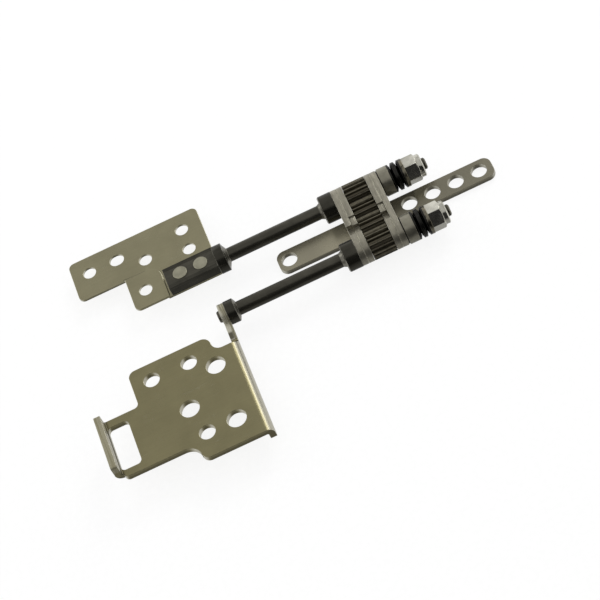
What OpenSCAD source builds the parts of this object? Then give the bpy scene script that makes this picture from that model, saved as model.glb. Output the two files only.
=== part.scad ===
// Twin-shaft laptop hinge that opens through a full turn.
// Two friction shafts are tied together by a train of four spur gears, so that both brackets swing by the same
// angle in opposite directions. It is drawn half open, with both brackets in one plane.
// +X runs along the shafts towards the lock nuts, +Y from the base shaft to the lid shaft, and +Z away from the
// mounting strip. The origin is the middle of the strip's row of holes, on the strip's rear face. Millimetres.

/* [Shafts] */
// Distance between the two shaft axes
shaft_gap = 14.1; // [12:0.1:16]
// Diameter of both slim rods
rod_d = 3.0; // [2.6:0.1:3.4]
// Length of the base shaft's slim rod
base_rod_l = 23.3; // [15:0.1:40]
// Length of the lid shaft's slim rod
lid_rod_l = 21.5; // [15:0.1:40]
// Length of each shaft's thrust collar beside the gear block
thrust_l = 3.05; // [2:0.05:4]
// Diameter of the thrust collars and of the lid shaft's end collar
thrust_d = 6.15; // [5.8:0.05:6.4]
// Length of the cone between a rod and its thrust collar
cone_l = 0.7; // [0.4:0.1:1]
// Diameter of the base shaft's end collar
base_collar_d = 5.1; // [4.4:0.1:5.6]
// Length of the base shaft's end collar
base_collar_l = 2.4; // [1.5:0.1:4]
// Length of the lid shaft's end collar
lid_collar_l = 2.1; // [1.5:0.1:4]
// Diameter of the journals that turn in the left end plates
journal_d = 3.4; // [3.2:0.1:3.8]
// Diameter of the flatted seat for the gear and the washers, which turns in the right end plates
seat_d = 3.0; // [2.8:0.1:3.2]
// Width across the seat's two flats
seat_flats = 2.3; // [2:0.1:2.5]
// Diameter of the threaded end
thread_d = 2.5; // [2:0.1:2.7]
// How far the threaded end stands out of the lock nut
thread_out = 0.8; // [0.3:0.1:2]

/* [Gears] */
// Teeth on each shaft gear
main_teeth = 16; // [14:1:20]
// Teeth on each idler gear
idler_teeth = 13; // [12:1:16]
// Face width of the gears
gear_l = 5.05; // [3:0.05:8]
// Turn of the base gear about its shaft, which the other three gears follow
gear_turn = -9.5; // [-11:0.5:11]
// Pressure angle of the teeth
pressure_angle = 20; // [18:1:25]
// Backlash at the pitch circle
backlash = 0.04; // [0.02:0.01:0.08]
// Diameter of the idlers' end journals
idler_journal_d = 2.0; // [1.6:0.1:2.2]

/* [Gear block] */
// Thickness of each of the four end plates
plate_t = 1.3; // [0.8:0.1:2]
// Depth of the notch in the front rims
notch_depth = 1.4; // [0.5:0.1:1.6]
// Width of the notch
notch_w = 2.4; // [1:0.1:3]
// Depth of the shallow step beside the notch of the inner plates
step_depth = 0.4; // [0.2:0.1:0.8]
// Length of each tenon that is staked into the strip, along Y
tenon_w = 2.4; // [1.5:0.1:3.5]

/* [Mounting strip] */
// Width of the strip
strip_w = 5.5; // [4.6:0.1:7]
// Thickness of the strip
strip_t = 1.2; // [0.8:0.1:2]
// Diameter of the strip's screw holes
strip_hole_d = 3.4; // [2.5:0.1:3.6]
// Spacing of the four holes in the row
strip_pitch = 5.3; // [4.6:0.1:7]
// Distance from the row's middle to the strip's far right end
strip_right = 11.0; // [10.4:0.1:14]
// Distance from the row's middle to the strip's left end
strip_left = 37.95; // [34:0.05:50]
// Distance from the strip's left end to the single hole there
strip_end_gap = 2.5; // [2.3:0.1:4]
// Distance from the row's middle to the gear block's left face
block_left = 22.0; // [20:0.1:30]
// How far the strip sits from the middle of the gear block, towards the lid shaft
strip_shift = 1.55; // [0:0.05:2]
// Radius of the strip's corners
strip_corner = 1.8; // [0.5:0.1:2.2]

/* [Friction stack] */
// Thickness of the friction washer
friction_t = 0.25; // [0.15:0.05:0.5]
// Thickness of the spacer washer
spacer_t = 2.2; // [1:0.1:3]
// Outer diameter of the spacer and flat washers
spacer_d = 6.2; // [5:0.1:6.4]
// Outer diameter of the disc springs
disc_d = 6.2; // [5:0.1:6.4]
// Sheet thickness of a disc spring
disc_t = 0.36; // [0.2:0.02:0.5]
// Loaded height of one disc spring
disc_h = 0.68; // [0.6:0.02:0.9]
// Width of the turned-up rim of a disc spring
disc_rim = 0.65; // [0.4:0.05:1]
// Thickness of the flat washer under the nut
flat_t = 0.65; // [0.3:0.05:1]
// Width across the flats of the lock nut
nut_af = 5.3; // [4.5:0.1:5.5]
// Height of the nut's hexagon
nut_hex_l = 2.75; // [1.5:0.05:4]
// Height of the nut's round locking collar
nut_collar_l = 1.1; // [0.5:0.1:2]
// Diameter of the nut's locking collar
nut_collar_d = 5.0; // [4:0.1:5.2]
// Turn at which the base shaft's nut came tight
base_nut_turn = -11; // [-30:1:30]
// Turn at which the lid shaft's nut came tight
lid_nut_turn = -6; // [-30:1:30]

/* [Lid bracket] */
// Sheet thickness of the lid bracket
lid_t = 0.6; // [0.5:0.1:1]
// Height of the bracket's top edge above the shaft axis
lid_top = 17.2; // [16:0.1:24]
// Height of the long wing's lower edge above the shaft axis
lid_wing_bottom = 6.45; // [4:0.05:8]
// How far the riveted tab reaches below the shaft axis
lid_tab_bottom = 2.7; // [2.6:0.1:5]
// Length of the bracket from its right edge to its left end
lid_l = 30.1; // [28:0.1:45]
// Length of the riveted tab from the bracket's right edge
lid_tab_l = 19.6; // [18:0.1:22]
// Diameter of the lid bracket's screw holes
lid_hole_d = 2.85; // [2:0.05:3.2]
// Extra length of the lid bracket's slotted hole
lid_slot_extra = 0.35; // [0.1:0.05:1]
// Radius of the lid bracket's corners
lid_corner = 1.3; // [0.5:0.1:2.5]
// Height of the pressed pad beside the tongue
pad_h = 0.35; // [0.1:0.05:0.5]
// Length of the shaft's flat tongue
tongue_l = 11.3; // [9:0.1:14]
// Width of the tongue
tongue_w = 5.6; // [5:0.1:6]
// Thickness of the tongue
tongue_t = 2.5; // [1.5:0.1:3]
// Height of the tongue's front face above the shaft axis
tongue_front = 1.55; // [0.8:0.05:1.7]
// Spacing of the two rivets
rivet_pitch = 4.7; // [4:0.1:6]
// Distance from the tongue's end collar to the nearer rivet
rivet_in = 3.25; // [2.2:0.05:4]
// Shank diameter of the rivets
rivet_d = 2.0; // [1.5:0.1:2.4]
// Head diameter of the rivets
rivet_head_d = 3.2; // [2.6:0.1:3.8]
// Head height of the rivets
rivet_head_h = 0.15; // [0.1:0.05:0.6]

/* [Base bracket] */
// Sheet thickness of the base bracket
base_t = 1.4; // [0.8:0.1:1.6]
// Height of the bracket's front face above the shaft axis
base_front = 2.0; // [1.8:0.1:2.6]
// Depth of the side flange from the bracket's front face
flange_h = 3.1; // [2.5:0.1:4]
// Radius of the shaft's ear on the flange
ear_r = 2.45; // [2:0.05:2.6]
// Outer radius of the two bends
bend_r = 1.7; // [1.65:0.05:2.2]
// Distance from the shaft axis to the plate's top edge
base_top = 4.8; // [4:0.1:7]
// Distance from the shaft axis to the plate's bottom edge
base_bottom = 32.5; // [32:0.1:40]
// Distance from the flange's outer face to the plate's left edge
base_l = 23.45; // [23:0.05:30]
// Distance from the flange's outer face to the lower tab's left edge
base_tab_l = 14.95; // [14.4:0.05:16]
// Distance from the flange's outer face to the side arm's outer end
base_arm_l = 32.55; // [31:0.05:40]
// Distance from the shaft axis to the arm's top edge
arm_top = 13.7; // [12:0.1:15]
// Distance from the shaft axis to the arm's bottom edge
arm_bottom = 28.35; // [27:0.05:30]
// Height of the arm's upturned lip above the plate's front face
lip_h = 3.0; // [2:0.1:5]
// Distance from the arm's bottom edge to the lip's lower end
lip_end = 1.0; // [0.5:0.1:2]
// Width of the window in the arm
window_w = 4.5; // [3:0.1:5]
// Height of the window in the arm
window_h = 11.1; // [8:0.1:12]
// Diameter of the base bracket's three small holes
base_small_d = 3.4; // [2.5:0.1:3.8]
// Diameter of the base bracket's three large holes
base_large_d = 4.1; // [3:0.1:4.4]
// Diameter of the shaft's tail in the ear
tail_d = 2.1; // [1.6:0.1:2.4]
// Diameter of the peened head on the tail
peen_d = 2.7; // [2.4:0.1:3]
// Height of the peened head
peen_h = 0.65; // [0.3:0.05:1]

/* [Fits] */
// Radial clearance of a journal in its plate
run_clear = 0.03; // [0.01:0.01:0.08]
// Radial clearance of a keyed or riveted piece on its seat
seat_clear = 0.01; // [0:0.01:0.03]
// Clearance between the gears' end faces and the plates
side_clear = 0.05; // [0.02:0.01:0.15]

/* [Hidden] */
$fn = 64;
// Overlap that joins the steps of one solid
weld = 0.02;
// Overshoot of a cutter past the face that it leaves
over = 0.5;

// Gear train: the module follows from the shaft distance, so the four gears always mesh.
gear_module = shaft_gap / (main_teeth + 2 * idler_teeth);
main_pitch_r = gear_module * main_teeth / 2;
idler_pitch_r = gear_module * idler_teeth / 2;
addendum = gear_module;
dedendum = 1.2 * gear_module;
flank_steps = 5;
// The rims of the end plates are flush with the tips of the shaft gears.
block_r = main_pitch_r + addendum;

// Places across the shafts
base_y = -shaft_gap / 2 - strip_shift;
lid_y = shaft_gap / 2 - strip_shift;
mid_y = -strip_shift;
axis_z = strip_t + block_r;
lower_idler_y = base_y + main_pitch_r + idler_pitch_r;
upper_idler_y = lid_y - main_pitch_r - idler_pitch_r;

// Places along the shafts, from the gear block's left face to the right
block_x = -block_left;
gear_x = block_x + 2 * plate_t + side_clear;
right_x = gear_x + gear_l + side_clear;
block_end_x = right_x + 2 * plate_t;
spacer_x = block_end_x + friction_t;
disc_x = spacer_x + spacer_t;
disc_count = 4;
flat_x = disc_x + disc_count * disc_h;
nut_x = flat_x + flat_t;
nut_end_x = nut_x + nut_hex_l + nut_collar_l;
shaft_end_x = nut_end_x + thread_out;

// Places along the shafts, from the gear block to the left
thrust_x = block_x - thrust_l;
base_collar_x = thrust_x - cone_l - base_rod_l - base_collar_l;
ear_x = base_collar_x - base_t;
lid_collar_x = thrust_x - cone_l - lid_rod_l - lid_collar_l;
tongue_x = lid_collar_x - tongue_l;

// Levels across the sheet metal
tongue_back = axis_z + tongue_front - tongue_t;
pad_front_z = tongue_back + pad_h;
base_front_z = axis_z + base_front;
base_back_z = base_front_z - base_t;

// Phase of the next gear's teeth, so that a tooth of one gear stands in a gap of the other
function next_phase(phase, teeth, next_teeth) = 180 - phase * teeth / next_teeth + 180 / next_teeth;
base_phase = gear_turn;
lower_phase = next_phase(base_phase, main_teeth, idler_teeth);
upper_phase = next_phase(lower_phase, idler_teeth, idler_teeth);
lid_phase = next_phase(upper_phase, idler_teeth, main_teeth);

// Involute tooth: half of the angle that it fills at radius r
function involute(a) = tan(a) * 180 / PI - a;
function half_angle(r, base_r, pitch_r, pitch_half) =
    pitch_half + involute(pressure_angle) - involute(acos(min(1, base_r / r)));
function polar(r, a) = [r * cos(a), r * sin(a)];
function tooth(centre, pitch_r, pitch_half) =
    let (base_r = pitch_r * cos(pressure_angle))
    let (root_r = pitch_r - dedendum)
    let (tip_r = pitch_r + addendum)
    let (start_r = max(base_r, root_r))
    let (radii = [for (i = [0 : flank_steps]) start_r + (tip_r - start_r) * i / flank_steps])
    let (root_half = half_angle(start_r, base_r, pitch_r, pitch_half))
    concat(
        [polar(root_r, centre - root_half)],
        [for (r = radii) polar(r, centre - half_angle(r, base_r, pitch_r, pitch_half))],
        [for (i = [flank_steps : -1 : 0]) polar(radii[i], centre + half_angle(radii[i], base_r, pitch_r, pitch_half))],
        [polar(root_r, centre + root_half)]
    );
function gear_points(teeth, phase) =
    let (pitch_r = gear_module * teeth / 2)
    let (pitch_half = (PI * gear_module / 2 - backlash) / 2 / pitch_r * 180 / PI)
    [for (i = [0 : teeth - 1]) each tooth(phase + i * 360 / teeth, pitch_r, pitch_half)];

// Stands a profile drawn in Y and Z on the plane x, at the place y and z
module along_x(x, y, z) {
    translate([x, y, z])
        rotate([90, 0, 90])
            children();
}

// Round bar along X from x, with its axis at y and z
module bar(x, y, z, l, r1, r2) {
    along_x(x, y, z)
        cylinder(h = l, r1 = r1, r2 = r2);
}

// Rectangle with true round corners
module round_rect(x0, x1, y0, y1, r) {
    translate([x0 + r, y0])
        square([x1 - x0 - 2 * r, y1 - y0]);
    translate([x0, y0 + r])
        square([x1 - x0, y1 - y0 - 2 * r]);
    for (x = [x0 + r, x1 - r])
        for (y = [y0 + r, y1 - r])
            translate([x, y])
                circle(r = r);
}

// Inner corner of an outline, filled to a radius; sx and sy point from the corner into the open space
module corner_fill(x, y, r, sx, sy) {
    difference() {
        translate([x + min(0, sx) * r, y + min(0, sy) * r])
            square([r, r]);
        translate([x + sx * r, y + sy * r])
            circle(r = r);
    }
}

// Section of the flatted seat, drawn larger by the clearance c
module seat_section(d, flats, c) {
    intersection() {
        circle(r = d / 2 + c);
        square([d + 2 * c + over, flats + 2 * c], center = true);
    }
}

// Round hole through a sheet from z0 to z1
module sheet_hole(x, y, d, z0, z1) {
    translate([x, y, z0 - over])
        cylinder(h = z1 - z0 + 2 * over, r = d / 2);
}

// Gear block

strip_tenon_x = [block_x + plate_t, right_x];

module strip_hole(x) {
    sheet_hole(x, 0, strip_hole_d, 0, strip_t);
}

module mounting_strip() {
    color("#8f8d78")
        difference() {
            linear_extrude(strip_t)
                round_rect(-strip_left, strip_right, -strip_w / 2, strip_w / 2, strip_corner);
            strip_hole(strip_end_gap - strip_left);
            for (i = [-1.5, -0.5, 0.5, 1.5])
                strip_hole(i * strip_pitch);
            for (x = strip_tenon_x)
                translate([x, -tenon_w / 2, -over])
                    cube([plate_t, tenon_w, strip_t + 2 * over]);
        }
}

// Outline of an end plate in Y and Z, about the middle of the two axes
module plate_outline() {
    translate([-shaft_gap / 2, -block_r])
        square([shaft_gap, 2 * block_r]);
    for (s = [-1, 1])
        translate([s * shaft_gap / 2, 0])
            circle(r = block_r);
}

// Notch in a front rim, towards the base shaft
module rim_notch() {
    translate([-idler_pitch_r - notch_w, block_r - notch_depth])
        square([notch_w, notch_depth + over]);
}

// Shallow step from the notch to the middle of the rim
module rim_step() {
    translate([-idler_pitch_r - notch_w / 2, block_r - step_depth])
        square([idler_pitch_r + notch_w / 2, step_depth + over]);
}

module shaft_bores(x, d) {
    for (y = [base_y, lid_y])
        bar(x - over, y, axis_z, plate_t + 2 * over, d / 2 + run_clear, d / 2 + run_clear);
}

module idler_bores(x) {
    idler_bore_r = idler_journal_d / 2 + run_clear;
    for (y = [lower_idler_y, upper_idler_y])
        bar(x - over, y, axis_z, plate_t + 2 * over, idler_bore_r, idler_bore_r);
}

// The shafts turn in the left plates on their journals, and in the right plates on their seats.
module end_plate(x, bore_d, notched, inner) {
    difference() {
        union() {
            along_x(x, mid_y, axis_z)
                linear_extrude(plate_t)
                    difference() {
                        plate_outline();
                        if (notched)
                            rim_notch();
                        if (inner)
                            rim_step();
                    }
            if (inner)
                translate([x, -tenon_w / 2, 0])
                    cube([plate_t, tenon_w, strip_t + weld]);
        }
        shaft_bores(x, bore_d);
        if (inner)
            idler_bores(x);
    }
}

module left_outer_plate() {
    color("#b9b6a6")
        end_plate(block_x, journal_d, true, false);
}

module left_inner_plate() {
    color("#b3b09f")
        end_plate(block_x + plate_t, journal_d, true, true);
}

module right_inner_plate() {
    color("#b3b09f")
        end_plate(right_x, seat_d, true, true);
}

module right_outer_plate() {
    color("#bdbaab")
        end_plate(right_x + plate_t, seat_d, false, false);
}

// Gear train

module spur_gear(teeth, phase, y) {
    along_x(gear_x, y, axis_z)
        linear_extrude(gear_l)
            polygon(gear_points(teeth, phase));
}

module idler(y, phase) {
    journal_l = plate_t + side_clear - run_clear;
    union() {
        spur_gear(idler_teeth, phase, y);
        bar(gear_x - journal_l, y, axis_z, gear_l + 2 * journal_l, idler_journal_d / 2, idler_journal_d / 2);
    }
}

module lower_idler() {
    color("#59543f")
        idler(lower_idler_y, lower_phase);
}

module upper_idler() {
    color("#59543f")
        idler(upper_idler_y, upper_phase);
}

module shaft_gear(y, phase) {
    difference() {
        spur_gear(main_teeth, phase, y);
        along_x(gear_x - over, y, axis_z)
            linear_extrude(gear_l + 2 * over)
                seat_section(seat_d, seat_flats, seat_clear);
    }
}

module base_gear() {
    color("#5d563f")
        shaft_gear(base_y, base_phase);
}

module lid_gear() {
    color("#5d563f")
        shaft_gear(lid_y, lid_phase);
}

// Shafts

journal_r = journal_d / 2;
edge_break = 0.25;
base_cone_l = 0.4;
peen_taper = 0.2;

// Thrust collar, journal, flatted seat and threaded end, the same on both shafts
module shaft_head(y) {
    bar(thrust_x - cone_l, y, axis_z, cone_l + weld, rod_d / 2, rod_d / 2 + cone_l / 2);
    bar(thrust_x, y, axis_z, edge_break, thrust_d / 2 - edge_break, thrust_d / 2);
    bar(thrust_x + edge_break - weld, y, axis_z, thrust_l - edge_break + weld, thrust_d / 2, thrust_d / 2);
    bar(block_x - weld, y, axis_z, 2 * plate_t + weld, journal_r, journal_r);
    along_x(block_x + 2 * plate_t - weld, y, axis_z)
        linear_extrude(nut_x - block_x - 2 * plate_t + weld)
            seat_section(seat_d, seat_flats, 0);
    bar(nut_x - weld, y, axis_z, shaft_end_x - nut_x - edge_break + weld, thread_d / 2, thread_d / 2);
    bar(shaft_end_x - edge_break - weld, y, axis_z, edge_break + weld, thread_d / 2, thread_d / 2 - edge_break);
}

module base_shaft() {
    rod_x = base_collar_x + base_collar_l;
    color("#3b3a33")
        union() {
            shaft_head(base_y);
            bar(rod_x, base_y, axis_z, base_rod_l + weld, rod_d / 2, rod_d / 2);
            bar(rod_x - base_cone_l, base_y, axis_z, base_cone_l + weld, base_collar_d / 2, rod_d / 2 + edge_break);
            bar(base_collar_x, base_y, axis_z, base_collar_l - base_cone_l, base_collar_d / 2, base_collar_d / 2);
            bar(ear_x - weld, base_y, axis_z, base_t + 2 * weld, tail_d / 2, tail_d / 2);
            bar(ear_x - peen_h, base_y, axis_z, peen_h, peen_d / 2 - peen_taper, peen_d / 2);
        }
}

rivet_x = [lid_collar_x - rivet_in, lid_collar_x - rivet_in - rivet_pitch];

module lid_shaft() {
    rod_x = lid_collar_x + lid_collar_l;
    color("#36362f")
        difference() {
            union() {
                shaft_head(lid_y);
                bar(rod_x - weld, lid_y, axis_z, lid_rod_l + 2 * weld, rod_d / 2, rod_d / 2);
                bar(rod_x - weld, lid_y, axis_z, cone_l, thrust_d / 2 - edge_break, rod_d / 2);
                bar(lid_collar_x, lid_y, axis_z, lid_collar_l, thrust_d / 2, thrust_d / 2);
                translate([tongue_x, lid_y - tongue_w / 2, tongue_back])
                    cube([tongue_l + weld, tongue_w, tongue_t]);
            }
            for (x = rivet_x)
                sheet_hole(x, lid_y, rivet_d + 2 * seat_clear, tongue_back, tongue_back + tongue_t);
        }
}

// Friction stack, the same on both shafts

module washer(x, y, t, d) {
    difference() {
        bar(x, y, axis_z, t, d / 2, d / 2);
        along_x(x - over, y, axis_z)
            linear_extrude(t + 2 * over)
                seat_section(seat_d, seat_flats, seat_clear);
    }
}

disc_cone_h = 0.05;

// Dished washer with a turned-up rim. The rim faces the nut, or the gear block when flipped
module disc_spring(x, y, flipped) {
    hole_r = seat_d / 2 + 2 * run_clear;
    disc_r = disc_d / 2;
    knee_r = disc_r - disc_rim;
    along_x(flipped ? x + disc_h : x, y, axis_z)
        mirror([0, 0, flipped ? 1 : 0])
            rotate_extrude()
                polygon([[hole_r, 0], [hole_r, disc_t], [knee_r, disc_t + disc_cone_h], [disc_r, disc_h],
                    [disc_r, disc_h - disc_t], [knee_r, disc_cone_h]]);
}

module disc(i, y) {
    color("#232322")
        disc_spring(disc_x + i * disc_h, y, i % 2 == 0);
}

module lock_nut(y, turn) {
    hex_r = nut_af / 2 / cos(30);
    bevel_l = (hex_r - nut_af / 2) * tan(30);
    color("#a6a397")
        difference() {
            union() {
                intersection() {
                    along_x(nut_x, y, axis_z)
                        rotate([0, 0, turn])
                            cylinder(h = nut_hex_l, r = hex_r, $fn = 6);
                    union() {
                        bar(nut_x, y, axis_z, nut_hex_l - bevel_l, hex_r + weld, hex_r + weld);
                        bar(nut_x + nut_hex_l - bevel_l, y, axis_z, bevel_l, hex_r + weld, nut_af / 2 - weld);
                    }
                }
                bar(nut_x + nut_hex_l - weld, y, axis_z, nut_collar_l - edge_break + 2 * weld, nut_collar_d / 2,
                    nut_collar_d / 2);
                bar(nut_end_x - edge_break, y, axis_z, edge_break, nut_collar_d / 2, nut_collar_d / 2 - edge_break);
            }
            bar(nut_x - over, y, axis_z, nut_end_x - nut_x + 2 * over, thread_d / 2 + seat_clear, thread_d / 2 + seat_clear);
        }
}

module base_friction_washer() {
    color("#2a2a28")
        washer(block_end_x, base_y, friction_t, spacer_d - 2 * friction_t);
}

module base_spacer() {
    color("#a8a493")
        washer(spacer_x, base_y, spacer_t, spacer_d);
}

module base_disc_1() disc(0, base_y);

module base_disc_2() disc(1, base_y);

module base_disc_3() disc(2, base_y);

module base_disc_4() disc(3, base_y);

module base_flat_washer() {
    color("#b5b2a6")
        washer(flat_x, base_y, flat_t, spacer_d);
}

module base_lock_nut() lock_nut(base_y, base_nut_turn);

module lid_friction_washer() {
    color("#2a2a28")
        washer(block_end_x, lid_y, friction_t, spacer_d - 2 * friction_t);
}

module lid_spacer() {
    color("#a8a493")
        washer(spacer_x, lid_y, spacer_t, spacer_d);
}

module lid_disc_1() disc(0, lid_y);

module lid_disc_2() disc(1, lid_y);

module lid_disc_3() disc(2, lid_y);

module lid_disc_4() disc(3, lid_y);

module lid_flat_washer() {
    color("#b5b2a6")
        washer(flat_x, lid_y, flat_t, spacer_d);
}

module lid_lock_nut() lock_nut(lid_y, lid_nut_turn);

// Lid bracket: holes are placed from the bracket's right edge and the shaft axis.

lid_right_x = lid_collar_x;
lid_left_x = lid_right_x - lid_l;
lid_tab_x = lid_right_x - lid_tab_l;
lid_pair_in = 4.5;
lid_row_up = 12.85;
lid_pair_low = 7.15;
lid_slot_in = 19.75;
lid_end_in = 26.15;
lid_middle_in = 14.0;
lid_middle_up = 9.5;
lid_tab_hole_in = 16.15;
lid_tab_hole_up = 1.6;
lid_inner_corner = 0.3;
pad_gap = 0.6;
pad_corner = 2.8;
pad_join = 0.35;

module lid_hole(in, up) {
    sheet_hole(lid_right_x - in, lid_y + up, lid_hole_d, tongue_back - lid_t, pad_front_z);
}

module lid_outline() {
    round_rect(lid_left_x, lid_right_x, lid_y + lid_wing_bottom, lid_y + lid_top, lid_corner);
    round_rect(lid_tab_x, lid_right_x, lid_y - lid_tab_bottom, lid_y + lid_top, lid_corner);
    corner_fill(lid_tab_x, lid_y + lid_wing_bottom, lid_inner_corner, -1, -1);
    translate([lid_right_x - lid_corner, lid_y - lid_tab_bottom])
        square([lid_corner, lid_corner]);
}

// Area of the pad that is pressed up beside the tongue, drawn smaller by the inset
module pad_area(inset) {
    x0 = lid_tab_x - over;
    x1 = tongue_x - pad_gap - inset;
    y0 = lid_y - lid_tab_bottom - over;
    y1 = lid_y + lid_wing_bottom - inset;
    r = pad_corner - inset;
    translate([x0, y0])
        square([x1 - x0, y1 - r - y0]);
    translate([x0, y0])
        square([x1 - r - x0, y1 - y0]);
    translate([x1 - r, y1 - r])
        circle(r = r);
}

// The sheet and its pad overlap in a narrow band, which stands for the drawn step between them.
module lid_bracket() {
    color("#918f79")
        difference() {
            union() {
                translate([0, 0, tongue_back - lid_t])
                    linear_extrude(lid_t)
                        difference() {
                            lid_outline();
                            pad_area(pad_join);
                        }
                translate([0, 0, pad_front_z - lid_t])
                    linear_extrude(lid_t)
                        intersection() {
                            lid_outline();
                            pad_area(0);
                        }
            }
            lid_hole(lid_pair_in, lid_row_up);
            lid_hole(lid_pair_in, lid_pair_low);
            lid_hole(lid_middle_in, lid_middle_up);
            for (s = [-1, 1])
                lid_hole(lid_slot_in + s * lid_slot_extra / 2, lid_row_up);
            lid_hole(lid_end_in, lid_row_up);
            lid_hole(lid_tab_hole_in, lid_tab_hole_up);
            for (x = rivet_x)
                sheet_hole(x, lid_y, rivet_d + 2 * seat_clear, tongue_back - lid_t, tongue_back);
        }
}

module rivet(x) {
    front_z = tongue_back + tongue_t;
    back_z = tongue_back - lid_t;
    head_r = rivet_head_d / 2;
    color("#a9a797")
        translate([x, lid_y, 0])
            union() {
                translate([0, 0, back_z - rivet_head_h])
                    cylinder(h = rivet_head_h, r1 = head_r - rivet_head_h, r2 = head_r);
                translate([0, 0, back_z - weld])
                    cylinder(h = front_z - back_z + 2 * weld, r = rivet_d / 2);
                translate([0, 0, front_z])
                    cylinder(h = rivet_head_h, r1 = head_r, r2 = head_r - rivet_head_h / 2);
            }
}

module inner_rivet() rivet(rivet_x[0]);

module outer_rivet() rivet(rivet_x[1]);

// Base bracket: holes are placed from the flange's outer face and the shaft axis.

flange_x = base_collar_x;
plate_right_x = flange_x - bend_r;
plate_left_x = flange_x - base_l;
tab_left_x = flange_x - base_tab_l;
arm_left_x = flange_x - base_arm_l;
lip_face_x = arm_left_x + bend_r;
shoulder_in = 5.3;
shoulder_x = flange_x - shoulder_in;
shoulder_drop = 4.0;
shoulder_y = base_y - base_top - shoulder_drop;
shoulder_r = 1.95;
plate_corner = 1.6;
arm_corner = 1.0;
tab_corner = 3.0;
lip_corner = 0.5;
window_in = 31.0;
window_x = flange_x - window_in;
window_top = 15.5;
window_corner = 1.0;
base_small_in = [19.15, 10.85, 12.35];
base_small_down = [8.9, 8.9, 26.7];
base_large_in = [5.95, 13.95, 5.95];
base_large_down = [12.4, 19.6, 26.7];

module base_hole(in, down, d) {
    sheet_hole(flange_x - in, base_y - down, d, base_back_z, base_front_z);
}

// Flat part of the base bracket, between the two bends
module base_outline() {
    top_y = base_y - base_top;
    bottom_y = base_y - base_bottom;
    arm_top_y = base_y - arm_top;
    arm_bottom_y = base_y - arm_bottom;
    difference() {
        round_rect(plate_left_x, shoulder_x, arm_bottom_y, top_y, plate_corner);
        corner_fill(shoulder_x, top_y, shoulder_r, -1, -1);
    }
    round_rect(tab_left_x, plate_right_x, bottom_y, shoulder_y, plate_corner);
    translate([plate_right_x - plate_corner, bottom_y])
        square([plate_corner, shoulder_y - bottom_y]);
    translate([lip_face_x + lip_end, arm_bottom_y])
        square([tab_left_x - lip_face_x, arm_top_y - arm_bottom_y]);
    translate([lip_face_x, arm_bottom_y + lip_end])
        square([2 * lip_end, arm_top_y - arm_bottom_y - lip_end]);
    translate([lip_face_x + lip_end, arm_bottom_y + lip_end])
        circle(r = lip_end);
    corner_fill(plate_left_x, arm_top_y, arm_corner, -1, 1);
    corner_fill(shoulder_x, shoulder_y, shoulder_r, 1, 1);
    corner_fill(tab_left_x, arm_bottom_y, tab_corner, -1, -1);
}

// Quarter of a bend from y0 to y1, with its axis at x and z; sx and sz point from the axis to the bend
module bend(x, z, y0, y1, sx, sz) {
    translate([x, y1, z])
        rotate([90, 0, 0])
            linear_extrude(y1 - y0)
                intersection() {
                    difference() {
                        circle(r = bend_r);
                        circle(r = bend_r - base_t);
                    }
                    translate([min(0, sx) * bend_r, min(0, sz) * bend_r])
                        square([bend_r, bend_r]);
                }
}

// Flange with the shaft's ear, drawn in Y and Z about the shaft axis
module flange_outline() {
    circle(r = ear_r);
    translate([-base_bottom, base_front - flange_h])
        square([base_bottom, flange_h - bend_r]);
}

// Bend between the plate and the flange. Above the shoulder it runs out in a hollow corner
module flange_bend() {
    difference() {
        bend(plate_right_x, base_front_z - bend_r, base_y - base_bottom, shoulder_y + bend_r, 1, 1);
        bar(plate_right_x - over, shoulder_y + bend_r, base_front_z, bend_r + 2 * over, bend_r - weld, bend_r - weld);
    }
}

// Upturned lip at the arm's end, drawn in Y and Z
module lip_outline() {
    y0 = base_y - arm_bottom + lip_end;
    y1 = base_y - arm_top;
    z1 = base_front_z + lip_h;
    translate([y0, base_back_z + bend_r])
        square([y1 - y0, z1 - lip_corner - base_back_z - bend_r]);
    round_rect(y0, y1, base_front_z, z1, lip_corner);
}

module base_bracket() {
    tail_hole_r = tail_d / 2 + seat_clear;
    color("#8b8970")
        difference() {
            union() {
                translate([0, 0, base_back_z])
                    linear_extrude(base_t)
                        base_outline();
                flange_bend();
                along_x(ear_x, base_y, axis_z)
                    linear_extrude(base_t)
                        flange_outline();
                bend(lip_face_x, base_back_z + bend_r, base_y - arm_bottom + lip_end, base_y - arm_top, -1, -1);
                along_x(arm_left_x, 0, 0)
                    linear_extrude(base_t)
                        lip_outline();
            }
            translate([0, 0, base_back_z - over])
                linear_extrude(base_t + 2 * over)
                    round_rect(window_x, window_x + window_w, base_y - window_top - window_h, base_y - window_top,
                        window_corner);
            for (i = [0 : 2])
                base_hole(base_small_in[i], base_small_down[i], base_small_d);
            for (i = [0 : 2])
                base_hole(base_large_in[i], base_large_down[i], base_large_d);
            bar(ear_x - over, base_y, axis_z, base_t + 2 * over, tail_hole_r, tail_hole_r);
        }
}

mounting_strip();
left_outer_plate();
left_inner_plate();
right_inner_plate();
right_outer_plate();
lower_idler();
upper_idler();
base_bracket();
base_shaft();
base_gear();
base_friction_washer();
base_spacer();
base_disc_1();
base_disc_2();
base_disc_3();
base_disc_4();
base_flat_washer();
base_lock_nut();
lid_bracket();
lid_shaft();
lid_gear();
lid_friction_washer();
lid_spacer();
lid_disc_1();
lid_disc_2();
lid_disc_3();
lid_disc_4();
lid_flat_washer();
lid_lock_nut();
inner_rivet();
outer_rivet();
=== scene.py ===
"""Looks of the twin-shaft laptop hinge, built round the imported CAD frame.

Every CAD part gets a bevelled copy with its own metal finish, and the shaft tips get their thread.
Lengths are metres, in the row's frame.
"""

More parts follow.
